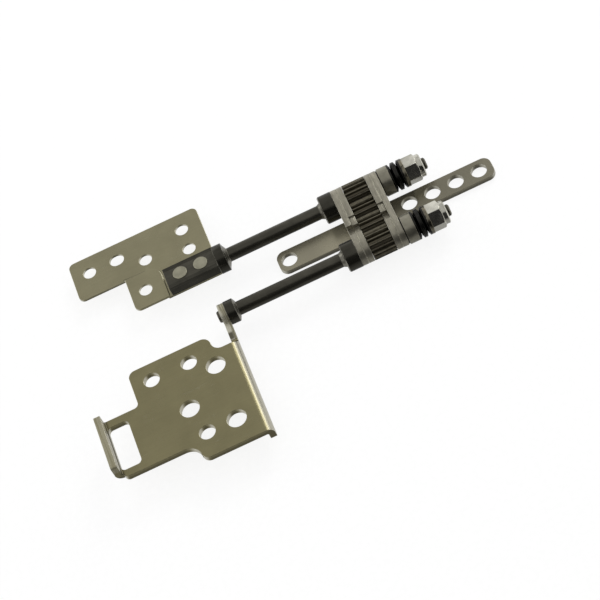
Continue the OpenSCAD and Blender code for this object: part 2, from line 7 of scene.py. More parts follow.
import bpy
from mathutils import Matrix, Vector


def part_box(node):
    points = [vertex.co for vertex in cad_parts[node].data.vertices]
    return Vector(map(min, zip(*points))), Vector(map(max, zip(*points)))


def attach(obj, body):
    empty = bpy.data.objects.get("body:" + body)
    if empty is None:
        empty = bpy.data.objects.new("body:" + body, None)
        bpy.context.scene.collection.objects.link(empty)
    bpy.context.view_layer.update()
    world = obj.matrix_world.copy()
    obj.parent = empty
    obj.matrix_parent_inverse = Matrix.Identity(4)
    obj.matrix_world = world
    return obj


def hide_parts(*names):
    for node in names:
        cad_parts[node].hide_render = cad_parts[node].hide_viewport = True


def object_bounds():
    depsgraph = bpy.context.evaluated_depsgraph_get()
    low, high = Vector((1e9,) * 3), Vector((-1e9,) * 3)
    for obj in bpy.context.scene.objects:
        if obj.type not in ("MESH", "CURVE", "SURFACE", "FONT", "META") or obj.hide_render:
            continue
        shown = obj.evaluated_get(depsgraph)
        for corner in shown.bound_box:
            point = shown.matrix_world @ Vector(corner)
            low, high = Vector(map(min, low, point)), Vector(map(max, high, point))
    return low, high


bl_info = {
    "name": "Twin-shaft laptop hinge",
    "version": (1, 0, 0),
    "blender": (4, 5, 0),
    "location": "View3D > Sidebar > Hinge",
    "description": "Dresses the CAD parts of a gear-synchronised laptop hinge",
    "category": "Object",
}

import math

import bmesh
import bpy
from bpy.props import FloatProperty, FloatVectorProperty, PointerProperty
from mathutils import Matrix, Vector

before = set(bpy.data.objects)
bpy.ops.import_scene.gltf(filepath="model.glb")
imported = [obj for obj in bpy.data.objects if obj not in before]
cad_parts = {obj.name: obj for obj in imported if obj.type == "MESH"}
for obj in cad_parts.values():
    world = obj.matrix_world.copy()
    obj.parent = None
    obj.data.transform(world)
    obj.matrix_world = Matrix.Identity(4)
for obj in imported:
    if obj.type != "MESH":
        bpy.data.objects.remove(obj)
cad_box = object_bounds()

MM = 0.001
SIDES = ("base", "lid")
DISCS = (1, 2, 3, 4)

# Body and tooth count of each gear, in the order of the train
GEARS = {
    "base_gear": ("base_side", 16),
    "lower_idler": ("lower_idler", 13),
    "upper_idler": ("upper_idler", 13),
    "lid_gear": ("lid_side", 16),
}

# Angle from which an edge is sharp, up to which faces are one flat and under which a corner is a knife
SHARP = math.radians(32)
FLAT = math.radians(0.5)
KNIFE = math.radians(10)

# Distance under which points are one, and how upright the normal of a level face is
MERGE = 0.001 * MM
LEVEL_COSINE = 0.999

# How far a zone of a finish reaches past a piece's end
AROUND = 1.0 * MM


def axis_of(side):
    """Y and Z of a shaft's axis, from the middle of its threaded end's lock nut."""
    low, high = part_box(f"{side}_lock_nut")
    return (low.y + high.y) / 2, (low.z + high.z) / 2


def gear_train():
    """Name, body, axis and tip radius of each gear, in the order of the train."""
    (start_y, z), (end_y, _) = axis_of("base"), axis_of("lid")
    counts = [count for _, count in GEARS.values()]
    module = (end_y - start_y) / (sum(counts) - (counts[0] + counts[-1]) / 2)
    y = start_y - module * counts[0] / 2
    for node, (body, count) in GEARS.items():
        pitch_radius = module * count / 2
        y += pitch_radius
        yield node, body, (y, z), pitch_radius + module
        y += pitch_radius


def sheet_levels(node):
    """Z of a sheet's rear and front face: the levels of its largest faces that look down and up."""
    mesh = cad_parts[node].data
    levels = []
    for way in (-1, 1):
        areas = {}
        for face in mesh.polygons:
            if face.normal.z * way > LEVEL_COSINE:
                level = round(face.center.z, 6)
                areas[level] = areas.get(level, 0.0) + face.area
        levels.append(max(areas, key=areas.get))
    return levels


# Mesh tools


def weigh_edges(bm):
    """Marks each sharp edge for rounding, apart from those that meet another at a knife point."""
    weight = bm.edges.layers.float.new("bevel_weight_edge")
    for edge in bm.edges:
        edge[weight] = float(edge.calc_face_angle(0.0) > SHARP)
    for vert in bm.verts:
        ways = [(edge, edge.other_vert(vert).co - vert.co) for edge in vert.link_edges if edge[weight]]
        pairs = ((a, b) for i, a in enumerate(ways) for b in ways[:i])
        if any(a[1].angle(b[1], KNIFE) < KNIFE for a, b in pairs):
            for edge in vert.link_edges:
                edge[weight] = 0.0


def dressed_copy(node, body, material, edge, segments=2):
    """A merged copy of a CAD node with rounded edges, which then stands for the node."""
    bm = bmesh.new()
    bm.from_mesh(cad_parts[node].data)
    bmesh.ops.remove_doubles(bm, verts=bm.verts, dist=MERGE)
    bmesh.ops.dissolve_limit(bm, angle_limit=FLAT, verts=bm.verts, edges=bm.edges)
    weigh_edges(bm)
    piece = finished_piece(bm, f"{node}_metal", material)
    if edge > 0:
        rounding = piece.modifiers.new("Edge break", "BEVEL")
        rounding.width = edge
        rounding.segments = segments
        rounding.limit_method = "WEIGHT"
        rounding.use_clamp_overlap = False
        rounding.loop_slide = False
        rounding.harden_normals = True
    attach(piece, body)
    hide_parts(node)
    return piece


def finished_piece(bm, name, material):
    """Turns a bmesh into an object with smooth faces between sharp edges."""
    mesh = bpy.data.meshes.new(name)
    bm.to_mesh(mesh)
    bm.free()
    for face in mesh.polygons:
        face.use_smooth = True
    mesh.set_sharp_from_angle(angle=SHARP)
    mesh.materials.clear()
    mesh.materials.append(material)
    piece = bpy.data.objects.new(name, mesh)
    bpy.context.scene.collection.objects.link(piece)
    return piece


# Node tools


def connect(tree, node, links):
    """Links each named input of a node to a socket, or sets it to a value."""
    for name, value in links.items():
        if isinstance(value, bpy.types.NodeSocket):
            tree.links.new(value, node.inputs[name])
        else:
            node.inputs[name].default_value = value
    return node


def add(tree, kind, links=None, **settings):
    """Adds a shader node, with its settings and with its inputs set or linked."""
    node = tree.nodes.new("ShaderNode" + kind)
    for name, value in settings.items():
        setattr(node, name, value)
    return connect(tree, node, links or {})


def calc(tree, operation, a, b=0.0, clamp=False):
    """Output of a Math node."""
    return add(tree, "Math", {0: a, 1: b}, operation=operation, use_clamp=clamp).outputs[0]


def ramp(tree, value, low, high, start=0.0, end=1.0):
    """Smooth step of a value from low to high."""
    links = {"Value": value, "From Min": low, "From Max": high, "To Min": start, "To Max": end}
    return add(tree, "MapRange", links, interpolation_type="SMOOTHSTEP").outputs["Result"]


def noise(tree, vector, scale, detail, **more):
    """Output of a Noise Texture node."""
    links = {"Vector": vector, "Scale": scale, "Detail": detail, **more}
    return add(tree, "TexNoise", links).outputs["Fac"]


def blend_colours(tree, factor, a, b, mode="MIX"):
    """Output of a colour Mix node."""
    node = add(tree, "Mix", data_type="RGBA", blend_type=mode)
    for name, value in (("Factor_Float", factor), ("A_Color", a), ("B_Color", b)):
        socket = next(s for s in node.inputs if s.identifier == name)
        if isinstance(value, bpy.types.NodeSocket):
            tree.links.new(value, socket)
        else:
            socket.default_value = (*value[:3], 1.0) if name != "Factor_Float" else value
    return next(s for s in node.outputs if s.identifier == "Result_Color")


def new_group(name, inputs, outputs):
    """An empty node group with named sockets; gives the tree and its input and output nodes."""
    tree = bpy.data.node_groups.new(name, "ShaderNodeTree")
    for label, kind, default in inputs:
        socket = tree.interface.new_socket(label, in_out="INPUT", socket_type="NodeSocket" + kind)
        if default is not None:
            socket.default_value = default
    for label in outputs:
        tree.interface.new_socket(label, in_out="OUTPUT", socket_type="NodeSocketFloat")
    return tree, tree.nodes.new("NodeGroupInput"), tree.nodes.new("NodeGroupOutput")


def use(tree, group, links):
    """Places a node group in a tree."""
    node = tree.nodes.new("ShaderNodeGroup")
    node.node_tree = group
    return connect(tree, node, links)


# Effects that several finishes share


def grain_group():
    """Streaks that run along the axis with the smallest scale, with fine tooth in them."""
    tree, given, made = new_group(
        "Drawn grain",
        [
            ("Vector", "Vector", None),
            ("Scale", "Vector", (200.0, 4000.0, 4000.0)),
            ("Contrast", "Float", 1.0),
        ],
        ["Streaks"],
    )
    stretched = add(tree, "VectorMath", {0: given.outputs["Vector"], 1: given.outputs["Scale"]},
                    operation="MULTIPLY").outputs[0]
    broad = noise(tree, stretched, 0.35, 2.0)
    fine = noise(tree, stretched, 1.0, 4.0, Roughness=0.6)
    summed = calc(tree, "ADD", calc(tree, "MULTIPLY", fine, 0.6), calc(tree, "MULTIPLY", broad, 0.4))
    centred = calc(tree, "MULTIPLY", calc(tree, "SUBTRACT", summed, 0.5), given.outputs["Contrast"])
    tree.links.new(calc(tree, "ADD", centred, 0.5, clamp=True), made.inputs["Streaks"])
    return tree


def mottle_group():
    """Soft cloudy patches in a plating."""
    tree, given, made = new_group(
        "Plating clouds",
        [
            ("Vector", "Vector", None),
            ("Patch Size", "Float", 4 * MM),
            ("Contrast", "Float", 1.0),
        ],
        ["Clouds", "Speckle"],
    )
    scale = calc(tree, "DIVIDE", 1.0, given.outputs["Patch Size"])
    clouds = noise(tree, given.outputs["Vector"], scale, 3.0, Roughness=0.55, Distortion=0.4)
    centred = calc(tree, "MULTIPLY", calc(tree, "SUBTRACT", clouds, 0.5), given.outputs["Contrast"])
    tree.links.new(calc(tree, "ADD", centred, 0.5, clamp=True), made.inputs["Clouds"])
    grit = noise(tree, given.outputs["Vector"], calc(tree, "MULTIPLY", scale, 22.0), 2.0)
    tree.links.new(ramp(tree, grit, 0.62, 0.72), made.inputs["Speckle"])
    return tree


def wear_group():
    """Mask of rounded and rubbed edges, broken up by noise."""
    tree, given, made = new_group(
        "Rubbed edges",
        [
            ("Vector", "Vector", None),
            ("Width", "Float", 0.2 * MM),
            ("Patchiness", "Float", 0.5),
        ],
        ["Mask"],
    )
    rounded = add(tree, "Bevel", {"Radius": given.outputs["Width"]}, samples=6).outputs["Normal"]
    flat = add(tree, "NewGeometry").outputs["Normal"]
    same = add(tree, "VectorMath", {0: rounded, 1: flat}, operation="DOT_PRODUCT").outputs["Value"]
    edge = ramp(tree, same, 0.985, 0.88)
    patches = ramp(tree, noise(tree, given.outputs["Vector"], 1400.0, 3.0), 0.42, 0.6)
    kept = calc(tree, "SUBTRACT", 1.0, calc(tree, "MULTIPLY", patches, given.outputs["Patchiness"]))
    tree.links.new(calc(tree, "MULTIPLY", edge, kept, clamp=True), made.inputs["Mask"])
    return tree


def scratch_group():
    """Few thin scratches that cross each other."""
    tree, given, made = new_group(
        "Handling scratches",
        [("Vector", "Vector", None), ("Amount", "Float", 1.0)],
        ["Mask"],
    )
    lines = []
    for turn, scale in ((0.6, (60.0, 900.0, 900.0)), (2.3, (900.0, 80.0, 900.0))):
        links = {"Vector": given.outputs["Vector"], "Rotation": (0.0, 0.0, turn), "Scale": scale}
        wave = noise(tree, add(tree, "Mapping", links).outputs[0], 1.0, 1.0)
        lines.append(ramp(tree, calc(tree, "ABSOLUTE", calc(tree, "SUBTRACT", wave, 0.5)), 0.006, 0.0))
    places = ramp(tree, noise(tree, given.outputs["Vector"], 260.0, 1.0), 0.5, 0.62)
    found = calc(tree, "MULTIPLY", calc(tree, "MAXIMUM", *lines), places)
    shown = calc(tree, "MULTIPLY", found, given.outputs["Amount"], clamp=True)
    tree.links.new(shown, made.inputs["Mask"])
    return tree


def wall_group():
    """Mask of the sheared walls, whose faces look away from the given axis."""
    inputs = [("Across", "Vector", (0.0, 0.0, 1.0))]
    tree, given, made = new_group("Sheared walls", inputs, ["Mask"])
    normal = add(tree, "TexCoord").outputs["Normal"]
    facing = add(tree, "VectorMath", {0: normal, 1: given.outputs["Across"]},
                 operation="DOT_PRODUCT").outputs["Value"]
    tree.links.new(ramp(tree, calc(tree, "ABSOLUTE", facing), 0.75, 0.35), made.inputs["Mask"])
    return tree


def slope_group():
    """How far a surface looks along X, either way."""
    tree, given, made = new_group("Slope along X", [], ["Slope"])
    normal = add(tree, "SeparateXYZ", {0: add(tree, "TexCoord").outputs["Normal"]})
    tree.links.new(calc(tree, "ABSOLUTE", normal.outputs["X"]), made.inputs["Slope"])
    return tree


def zone_group():
    """Mask that is 1 inside a box of the piece, with soft sides."""
    tree, given, made = new_group(
        "Box zone",
        [
            ("Vector", "Vector", None),
            ("Low", "Vector", None),
            ("High", "Vector", None),
            ("Softness", "Float", 0.1 * MM),
        ],
        ["Mask"],
    )
    inside = None
    for end, sign in (("Low", 1.0), ("High", -1.0)):
        gap = add(tree, "VectorMath", {0: given.outputs["Vector"], 1: given.outputs[end]},
                  operation="SUBTRACT").outputs[0]
        split = add(tree, "SeparateXYZ", {0: gap})
        for axis in "XYZ":
            depth = calc(tree, "MULTIPLY", split.outputs[axis], sign)
            side = ramp(tree, calc(tree, "DIVIDE", depth, given.outputs["Softness"]), -0.5, 0.5)
            inside = side if inside is None else calc(tree, "MULTIPLY", inside, side)
    tree.links.new(inside, made.inputs["Mask"])
    return tree


def break_group():
    """Mask of the lower part of a sheet's walls, where the punch tore the metal along a ragged line."""
    tree, given, made = new_group(
        "Torn zone",
        [
            ("Vector", "Vector", None),
            ("Rear", "Float", 0.0),
            ("Front", "Float", 1 * MM),
        ],
        ["Mask"],
    )
    split = add(tree, "SeparateXYZ", {0: given.outputs["Vector"]})
    depth = calc(tree, "DIVIDE", calc(tree, "SUBTRACT", given.outputs["Front"], split.outputs["Z"]),
                 calc(tree, "SUBTRACT", given.outputs["Front"], given.outputs["Rear"]))
    ragged = calc(tree, "SUBTRACT", noise(tree, given.outputs["Vector"], 900.0, 3.0), 0.5)
    line = calc(tree, "ADD", depth, calc(tree, "MULTIPLY", ragged, 0.35))
    tree.links.new(ramp(tree, line, 0.22, 0.50), made.inputs["Mask"])
    return tree


def reach_group():
    """Distance from an axis along X, in metres."""
    tree, given, made = new_group(
        "Distance from the axis",
        [
            ("Vector", "Vector", None),
            ("Axis Y", "Float", 0.0),
            ("Axis Z", "Float", 0.0),
        ],
        ["Distance"],
    )
    split = add(tree, "SeparateXYZ", {0: given.outputs["Vector"]})
    side = calc(tree, "SUBTRACT", split.outputs["Y"], given.outputs["Axis Y"])
    height = calc(tree, "SUBTRACT", split.outputs["Z"], given.outputs["Axis Z"])
    squares = [calc(tree, "MULTIPLY", leg, leg) for leg in (side, height)]
    tree.links.new(calc(tree, "SQRT", calc(tree, "ADD", *squares)), made.inputs["Distance"])
    return tree


def corner_shade_group():
    """Mask of painted shade in the corners, from ambient occlusion."""
    tree, given, made = new_group("Painted shade in corners", [("Reach", "Float", 0.6 * MM)], ["Mask"])
    links = {"Distance": given.outputs["Reach"]}
    shade = add(tree, "AmbientOcclusion", links, samples=6, only_local=True).outputs["AO"]
    tree.links.new(ramp(tree, shade, 0.85, 0.35), made.inputs["Mask"])
    return tree


MAKERS = {
    "grain": grain_group,
    "mottle": mottle_group,
    "wear": wear_group,
    "scratch": scratch_group,
    "wall": wall_group,
    "slope": slope_group,
    "zone": zone_group,
    "break": break_group,
    "reach": reach_group,
    "corner_shade": corner_shade_group,
}
GROUPS = {}


def shared(name):
    """A shared effect, built at its first use."""
    if name not in GROUPS:
        GROUPS[name] = MAKERS[name]()
    return GROUPS[name]


# Finishes


def shaded(colour, shade):
    """A colour made lighter or darker by a factor."""
    return [channel * shade for channel in colour]


class Finish:
    """A metal in the making: its colour, roughness, mirror and bump height grow step by step."""

    def __init__(self, name, colour, roughness, metallic=1.0):
        self.material = bpy.data.materials.new(name)
        self.material.use_nodes = True
        self.tree = self.material.node_tree
        self.tree.nodes.clear()
        self.place = add(self.tree, "TexCoord").outputs["Object"]
        self.colour = (*colour[:3], 1.0)
        self.roughness = roughness
        self.metallic = metallic
        self.height = None
        self.shader = add(self.tree, "BsdfPrincipled")

    def mask(self, name, output, **links):
        """Output of a shared effect that reads the piece's own coordinates."""
        named = {key.replace("_", " "): value for key, value in links.items()}
        if "Vector" in [s.name for s in shared(name).interface.items_tree if s.in_out == "INPUT"]:
            named["Vector"] = self.place
        return use(self.tree, shared(name), named).outputs[output]

    def both(self, a, b):
        """Product of two masks, which is 1 where both are."""
        return calc(self.tree, "MULTIPLY", a, b)

    def leaning(self):
        """Mask of the rounded edges and chamfers, between the faces across X and those along it."""
        slope = self.mask("slope", "Slope")
        return self.both(ramp(self.tree, slope, 0.25, 0.5), ramp(self.tree, slope, 0.99, 0.93))

    def tint(self, mask, colour, strength):
        """Mixes a colour in where the mask is 1."""
        factor = calc(self.tree, "MULTIPLY", mask, strength, clamp=True)
        self.colour = blend_colours(self.tree, factor, self.colour, colour)

    def vary(self, mask, low, high):
        """Darkens to low where the mask is 0 and lightens to high where it is 1."""
        grey = ramp(self.tree, mask, 0.0, 1.0, low, high)
        shade = add(self.tree, "CombineColor", {"Red": grey, "Green": grey, "Blue": grey}).outputs[0]
        self.colour = blend_colours(self.tree, 1.0, self.colour, shade, "MULTIPLY")

    def roughen(self, mask, change):
        """Adds a change to the roughness where the mask is 1."""
        self.roughness = calc(self.tree, "ADD", self.roughness, self.both(mask, change), clamp=True)

    def dull(self, mask, change):
        """Takes a share of the metal's mirror away where the mask is 1."""
        self.metallic = calc(self.tree, "SUBTRACT", self.metallic, self.both(mask, change), clamp=True)

    def raise_by(self, mask, depth):
        """Adds a bump of the given depth where the mask is 1."""
        bump = self.both(mask, depth)
        self.height = bump if self.height is None else calc(self.tree, "ADD", self.height, bump)

    def done(self):
        """Links what has grown to the shader and gives the material."""
        ends = {"Base Color": self.colour, "Roughness": self.roughness, "Metallic": self.metallic}
        if self.height is not None:
            links = {"Height": self.height, "Distance": 1.0, "Strength": 1.0}
            ends["Normal"] = add(self.tree, "Bump", links).outputs["Normal"]
        connect(self.tree, self.shader, ends)
        out = add(self.tree, "OutputMaterial", {"Surface": self.shader.outputs["BSDF"]})
        out.is_active_output = True
        return self.material


def sheet_finish(name, colour, levels, settings, roughness=0.27, metallic=1.0):
    """Dull nickel plating on rolled sheet: clouds, rolling lines, few scratches, torn sheared walls with
    painted shade, painted highlight on bends, painted shade in corners.

    Gives the finish before it is done, so that torn lines and painted light and shade can be added.
    """
    finish = Finish(name, colour, roughness, metallic)
    clouds = finish.mask("mottle", "Clouds", Patch_Size=6 * MM, Contrast=1.3)
    speckle = finish.mask("mottle", "Speckle", Patch_Size=5 * MM)
    grain = finish.mask("grain", "Streaks", Scale=(220.0, 3600.0, 3600.0), Contrast=1.4)
    walls = finish.mask("wall", "Mask", Across=(0.0, 0.0, 1.0))
    torn = finish.mask("break", "Mask", Rear=levels[0], Front=levels[1])
    shear = finish.mask("grain", "Streaks", Scale=(5200.0, 5200.0, 300.0), Contrast=2.2)
    wear = finish.mask("wear", "Mask", Width=0.20 * MM, Patchiness=0.7)
    scratches = finish.mask("scratch", "Mask", Amount=0.8)
    bends = ramp(finish.tree, finish.mask("slope", "Slope"), 0.28, 0.72)
    finish.vary(clouds, 0.93, 1.07)
    finish.vary(grain, 0.96, 1.04)
    finish.vary(speckle, 1.0, 0.90)
    # Darker torn lower part of the walls: a duller fracture zone, deepened with painted shade
    finish.tint(finish.both(walls, torn), shaded(colour, 0.62), 0.9)
    # Painted highlight on bends and walls that face along X
    finish.tint(bends, settings.side_highlight_colour, 0.85)
    finish.tint(wear, settings.edge_wear_and_highlight_colour, settings.edge_wear * 0.5)
    finish.tint(scratches, settings.edge_wear_and_highlight_colour, 0.14)
    # Painted shade in the corners, from ambient occlusion
    finish.tint(finish.mask("corner_shade", "Mask", Reach=0.5 * MM), shaded(colour, 0.3), 0.8)
    finish.roughen(clouds, 0.06)
    finish.roughen(walls, 0.14)
    finish.roughen(scratches, -0.06)
    finish.raise_by(grain, 0.0008 * MM)
    finish.raise_by(finish.both(walls, shear), 0.02 * MM)
    return finish


def add_torn_lines(finish, colour, settings, low, high, strength):
    """Bright and dark lines across the sheet's thickness, where its sheared edge shows inside a box."""
    lines = finish.mask("grain", "Streaks", Scale=(2300.0, 90.0, 90.0), Contrast=4.0)
    zone = finish.mask("zone", "Mask", Low=low, High=high, Softness=0.1 * MM)
    bright = finish.both(zone, ramp(finish.tree, lines, 0.2, 0.6, 0.4, 1.0))
    dark = finish.both(zone, ramp(finish.tree, lines, 0.4, 0.15))
    finish.tint(bright, settings.edge_wear_and_highlight_colour, strength)
    finish.tint(dark, shaded(colour, 0.6), strength * 0.7)
    finish.roughen(zone, 0.15)
    finish.dull(zone, 0.30)
    finish.raise_by(finish.both(zone, lines), 0.03 * MM)


def add_painted_light_or_shade(finish, colour, low, high, softness, shade):
    """Paints light into the plating inside a box with soft sides where the shade factor is above 1, and
    shade where it is below 1.

    Painted light leaves the sheared walls as they are.
    """
    zone = finish.mask("zone", "Mask", Low=low, High=high, Softness=softness)
    if shade > 1:
        walls = finish.mask("wall", "Mask", Across=(0.0, 0.0, 1.0))
        zone = finish.both(zone, calc(finish.tree, "SUBTRACT", 1.0, walls))
    finish.tint(zone, shaded(colour, shade), 0.9)


def plate_finish(name, colour, settings):
    """End plates: bright nickel with lines across their sheared rims, a painted highlight on their
    rounded edges and painted shade in corners.
    """
    finish = Finish(name, colour, roughness=0.32, metallic=0.85)
    clouds = finish.mask("mottle", "Clouds", Patch_Size=2.2 * MM, Contrast=1.6)
    rims = finish.mask("wall", "Mask", Across=(1.0, 0.0, 0.0))
    shear = finish.mask("grain", "Streaks", Scale=(4200.0, 260.0, 260.0), Contrast=2.4)
    wear = finish.mask("wear", "Mask", Width=0.16 * MM, Patchiness=0.4)
    corner_shade = finish.mask("corner_shade", "Mask", Reach=0.5 * MM)
    finish.vary(clouds, 0.86, 1.12)
    finish.vary(finish.both(rims, shear), 0.80, 1.18)
    # Painted shade in the corners, from ambient occlusion
    finish.tint(corner_shade, shaded(colour, 0.28), 0.75)
    # Painted highlight on the rims' rounded edges and chamfers
    finish.tint(finish.leaning(), settings.edge_wear_and_highlight_colour, 0.85)
    finish.tint(wear, settings.edge_wear_and_highlight_colour, settings.edge_wear)
    finish.roughen(clouds, 0.12)
    finish.raise_by(finish.both(rims, shear), 0.03 * MM)
    return finish.done()


def gear_finish(name, settings, axis, tip_radius):
    """Oiled sintered gear about its own axis, whose crests are rubbed bright and carry a painted
    highlight, with painted shade in the tooth gaps.
    """
    colour, crest_wear_and_highlight_colour = settings.gear_colour, settings.crest_wear_and_highlight_colour
    finish = Finish(name, colour, roughness=0.42)
    reach = finish.mask("reach", "Distance", Axis_Y=axis[0], Axis_Z=axis[1])
    crest = ramp(finish.tree, reach, tip_radius - 0.16 * MM, tip_radius - 0.03 * MM)
    valley_shade = ramp(finish.tree, reach, tip_radius - 0.35 * MM, tip_radius - 0.62 * MM)
    clouds = finish.mask("mottle", "Clouds", Patch_Size=0.9 * MM, Contrast=2.2)
    speckle = finish.mask("mottle", "Speckle", Patch_Size=2.4 * MM)
    grain = finish.mask("grain", "Streaks", Scale=(700.0, 9000.0, 9000.0), Contrast=2.0)
    finish.vary(clouds, 0.75, 1.25)
    # Painted shade in the gaps between the teeth
    finish.tint(valley_shade, shaded(colour, 0.95), 0.85)
    # Lighter crests: rubbed steel with a painted highlight
    finish.tint(finish.both(crest, ramp(finish.tree, clouds, 0.15, 0.6, 0.45, 1.0)), crest_wear_and_highlight_colour, 0.95)
    finish.tint(speckle, crest_wear_and_highlight_colour, 0.25)
    finish.roughen(crest, -0.06)
    finish.roughen(clouds, 0.12)
    finish.raise_by(grain, 0.006 * MM)
    return finish.done()


# Distance from a shaft's axis between which its rod ends and its collars begin
COLLAR_REACH = (2.3 * MM, 2.5 * MM)


def oxide_finish(name, colour, axis, settings):
    """Turned steel under black oxide: rings from the tool, lengthwise rub marks, grey worn edges, a
    painted highlight on chamfers and cones.
    """
    finish = Finish(name, colour, roughness=0.27, metallic=0.85)
    finish.shader.inputs["Specular Tint"].default_value = (0.75, 0.75, 0.75, 1.0)
    rings = finish.mask("grain", "Streaks", Scale=(9000.0, 160.0, 160.0), Contrast=1.8)
    rubs = finish.mask("grain", "Streaks", Scale=(160.0, 1500.0, 1500.0), Contrast=2.4)
    clouds = finish.mask("mottle", "Clouds", Patch_Size=3 * MM, Contrast=1.8)
    wear = finish.mask("wear", "Mask", Width=0.14 * MM, Patchiness=0.8)
    reach = finish.mask("reach", "Distance", Axis_Y=axis[0], Axis_Z=axis[1])
    collars = ramp(finish.tree, reach, *COLLAR_REACH)
    finish.vary(rubs, 0.82, 1.20)
    finish.vary(clouds, 0.85, 1.18)
    finish.vary(collars, 1.0, 0.70)
    # Painted highlight on the chamfers and the cones between rod and collars
    finish.tint(finish.leaning(), settings.oxide_wear_and_highlight_colour, 0.7)
    finish.tint(wear, settings.oxide_wear_and_highlight_colour, settings.edge_wear)
    finish.roughen(rubs, 0.08)
    finish.roughen(collars, -0.06)
    finish.raise_by(rings, 0.004 * MM)
    return finish.done()


def oily_finish(name, colour, settings):
    """Thin washer under brown oil that its edges show through."""
    finish = Finish(name, colour, roughness=0.26)
    clouds = finish.mask("mottle", "Clouds", Patch_Size=1.1 * MM, Contrast=2.4)
    wear = finish.mask("wear", "Mask", Width=0.14 * MM, Patchiness=0.5)
    finish.tint(ramp(finish.tree, clouds, 0.55, 0.25), shaded(colour, 0.3), 0.9)
    finish.tint(wear, settings.edge_wear_and_highlight_colour, settings.edge_wear)
    finish.roughen(clouds, 0.10)
    finish.raise_by(clouds, 0.004 * MM)
    return finish.done()


def spring_finish(name, colour):
    """Black phosphated disc springs, oiled so that they shine."""
    finish = Finish(name, colour, roughness=0.26)
    clouds = finish.mask("mottle", "Clouds", Patch_Size=1.2 * MM, Contrast=2.0)
    wear = finish.mask("wear", "Mask", Width=0.10 * MM, Patchiness=0.7)
    finish.vary(clouds, 0.7, 1.3)
    finish.tint(wear, shaded(colour, 4.0), 0.5)
    finish.roughen(clouds, 0.14)
    finish.raise_by(clouds, 0.004 * MM)
    return finish.done()


def bright_finish(name, colour, roughness, settings, turned=True, metallic=1.0):
    """Plated nut, washer or rivet: turning marks or fine dents, painted shade in the corners."""
    finish = Finish(name, colour, roughness, metallic)
    clouds = finish.mask("mottle", "Clouds", Patch_Size=1.6 * MM, Contrast=1.8)
    wear = finish.mask("wear", "Mask", Width=0.12 * MM, Patchiness=0.4)
    corner_shade = finish.mask("corner_shade", "Mask", Reach=0.4 * MM)
    finish.vary(clouds, 0.84, 1.12)
    # Painted shade in the corners, from ambient occlusion
    finish.tint(corner_shade, shaded(colour, 0.25), 0.7)
    finish.tint(wear, settings.edge_wear_and_highlight_colour, settings.edge_wear * 0.8)
    finish.roughen(clouds, 0.12)
    if turned:
        rings = finish.mask("grain", "Streaks", Scale=(5000.0, 220.0, 220.0), Contrast=1.6)
        finish.raise_by(rings, 0.0015 * MM)
    else:
        finish.raise_by(clouds, 0.012 * MM)
    return finish.done()


# Settings


class HingeFinishSettings(bpy.types.PropertyGroup):
    """Colours, wear and painted highlights of the hinge's metals."""

    strip_colour: FloatVectorProperty(
        name="Strip", description="Nickel plating of the mounting strip", subtype="COLOR",
        default=(0.226, 0.209, 0.150))
    lid_colour: FloatVectorProperty(
        name="Lid bracket", description="Nickel plating of the lid bracket", subtype="COLOR",
        default=(0.322, 0.297, 0.188))
    base_colour: FloatVectorProperty(
        name="Base bracket", description="Nickel plating of the base bracket", subtype="COLOR",
        default=(0.272, 0.245, 0.136))
    plate_colour: FloatVectorProperty(
        name="End plates", description="Nickel plating of the end plates", subtype="COLOR",
        default=(0.310, 0.292, 0.232))
    gear_colour: FloatVectorProperty(
        name="Gears", description="Oiled steel of the gears", subtype="COLOR",
        default=(0.140, 0.126, 0.090))
    # Rubbed steel of the tooth crests, also their painted highlight
    crest_wear_and_highlight_colour: FloatVectorProperty(
        name="Tooth crests", description="Rubbed steel on the tooth crests", subtype="COLOR",
        default=(0.19, 0.175, 0.130))
    oxide_colour: FloatVectorProperty(
        name="Shafts", description="Black oxide of the shafts", subtype="COLOR",
        default=(0.076, 0.072, 0.057))
    # Grey steel of the rubbed edges, also the painted highlight on the chamfers and cones
    oxide_wear_and_highlight_colour: FloatVectorProperty(
        name="Shaft edges", description="Grey steel where the oxide is rubbed off", subtype="COLOR",
        default=(0.26, 0.25, 0.21))
    spring_colour: FloatVectorProperty(
        name="Disc springs", description="Phosphate of the disc springs", subtype="COLOR",
        default=(0.030, 0.029, 0.026))
    washer_colour: FloatVectorProperty(
        name="Washers", description="Zinc plating of the washers", subtype="COLOR",
        default=(0.285, 0.270, 0.212))
    oiled_colour: FloatVectorProperty(
        name="Oiled washers", description="Zinc plating under brown oil", subtype="COLOR",
        default=(0.22, 0.20, 0.15))
    nut_colour: FloatVectorProperty(
        name="Lock nuts", description="Nickel plating of the lock nuts", subtype="COLOR",
        default=(0.62, 0.605, 0.53))
    rivet_colour: FloatVectorProperty(
        name="Rivets", description="Plating of the rivet heads", subtype="COLOR",
        default=(0.36, 0.345, 0.26))
    # Painted highlight on bends and walls that face along X
    side_highlight_colour: FloatVectorProperty(
        name="Bends", description="Plating on bends and walls that face along X", subtype="COLOR",
        default=(0.52, 0.50, 0.415))
    # Bright metal of rubbed edges, also the painted highlight on the end plates' rounded edges
    edge_wear_and_highlight_colour: FloatVectorProperty(
        name="Rubbed edges", description="Bright metal on rubbed edges", subtype="COLOR",
        default=(0.62, 0.60, 0.50))
    edge_wear: FloatProperty(
        name="Edge wear", description="How far the edges are rubbed bright", subtype="FACTOR",
        default=0.6, min=0, max=1)


